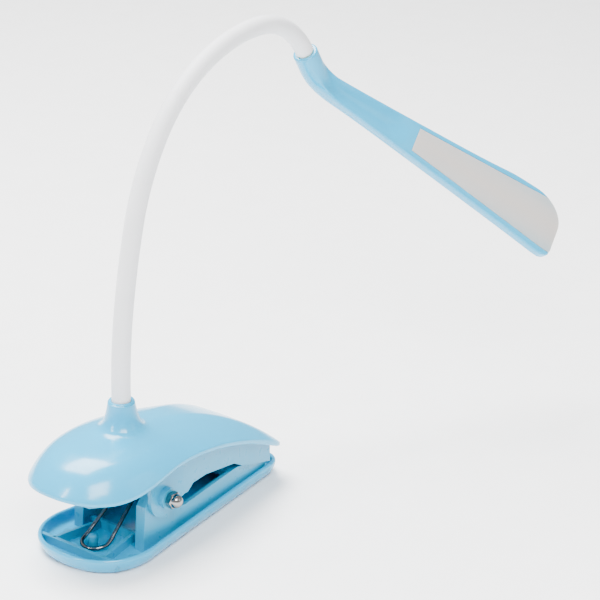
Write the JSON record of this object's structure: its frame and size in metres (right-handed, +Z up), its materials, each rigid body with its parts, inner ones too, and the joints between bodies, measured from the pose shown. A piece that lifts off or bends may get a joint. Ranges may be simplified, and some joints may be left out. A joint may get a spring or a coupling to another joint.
{
  "type": "clip-on reading lamp",
  "caption": "Clip-on reading lamp: a sprung jaw clip with an arched cover, a white bendable neck and a flat blade-shaped lit head.",
  "frame": {"origin": "on the table plane under the axis of the collar where the neck comes out of the clip", "axes": "+Z up, +X from the handle end of the clip to the tips of its jaws, +Y across the clip to the side away from the cap nut"},
  "size_m": [0.2597, 0.1059, 0.2054],
  "materials": {
    "blue_plastic": "glossy moulded light blue plastic",
    "plated_steel": "bright plated steel",
    "spring_steel": "plated spring wire",
    "silicone": "soft satin off-white silicone sleeve",
    "core_steel": "bendable steel core",
    "ferrule_brass": "turned brass end fitting",
    "cell_foil": "foil pouch of the cell",
    "board_green": "green circuit board",
    "socket_steel": "steel socket shell",
    "milky_diffuser": "milky translucent diffuser, lit from behind in use",
    "clear_guide": "clear acrylic light guide",
    "board_white": "white faced circuit board",
    "led_phosphor": "yellow phosphor lamp chips",
    "button_white": "satin white push button"
  },
  "bodies": {
    "base": {"lower_jaw": "blue_plastic", "hinge_bolt": "plated_steel", "cap_nut": "plated_steel", "bolt_washer": "plated_steel", "torsion_spring": "spring_steel"},
    "clip_top": {"upper_jaw": "blue_plastic", "cover": "blue_plastic", "battery": "cell_foil", "control_board": "board_green", "charge_port": "socket_steel", "cover_screws": "plated_steel", "neck_anchor": "plated_steel", "base_ferrule": "ferrule_brass", "sleeve_1": "silicone", "core_1": "core_steel"},
    "neck_2": {"sleeve_2": "silicone", "core_2": "core_steel"},
    "neck_3": {"sleeve_3": "silicone", "core_3": "core_steel"},
    "neck_4": {"sleeve_4": "silicone", "core_4": "core_steel"},
    "neck_5": {"sleeve_5": "silicone", "core_5": "core_steel"},
    "neck_6": {"sleeve_6": "silicone", "core_6": "core_steel", "head_ferrule": "ferrule_brass"},
    "head": {"head_shell": "blue_plastic", "head_frame": "blue_plastic", "diffuser": "milky_diffuser", "light_guide": "clear_guide", "led_board": "board_white", "leds": "led_phosphor", "head_screws": "plated_steel"},
    "button": {"button": "button_white"}
  },
  "joints": [
    {"name": "clip_open", "type": "hinge", "parent": "base", "child": "clip_top", "pos_m": [0.0014, 0, 0.024], "axis": [0, -1, 0], "range_deg": [0, 20], "stiffness_Nm_per_rad": 1.2, "springref_deg": -28.65, "deforming": ["torsion_spring"]},
    {"name": "neck_bend_1", "type": "hinge", "parent": "clip_top", "child": "neck_2", "pos_m": [0.00279, 0, 0.09906], "axis": [0, 1, 0], "range_deg": [-15, 6]},
    {"name": "neck_side_2", "type": "hinge", "parent": "neck_2", "child": "neck_3", "pos_m": [0.01042, 0, 0.13545], "axis": [0.9655, 0, -0.2605], "range_deg": [-15, 15]},
    {"name": "neck_bend_3", "type": "hinge", "parent": "neck_3", "child": "neck_4", "pos_m": [0.02601, 0, 0.16903], "axis": [0, 1, 0], "range_deg": [-15, 6]},
    {"name": "neck_bend_4", "type": "hinge", "parent": "neck_4", "child": "neck_5", "pos_m": [0.05383, 0, 0.19313], "axis": [0, 1, 0], "range_deg": [-15, 6]},
    {"name": "neck_side_5", "type": "hinge", "parent": "neck_5", "child": "neck_6", "pos_m": [0.08974, 0, 0.20142], "axis": [-0.0087, 0, -1], "range_deg": [-15, 15]},
    {"name": "head_twist", "type": "hinge", "parent": "neck_6", "child": "head", "pos_m": [0.12068, 0, 0.18377], "axis": [0.5165, 0, -0.8563], "range_deg": [-90, 60]},
    {"name": "button_press", "type": "slide", "parent": "head", "child": "button", "axis": [-0.2662, -0.8251, 0.4984], "range_m": [0, 0.0005], "stiffness_N_per_m": 600}
  ]
}
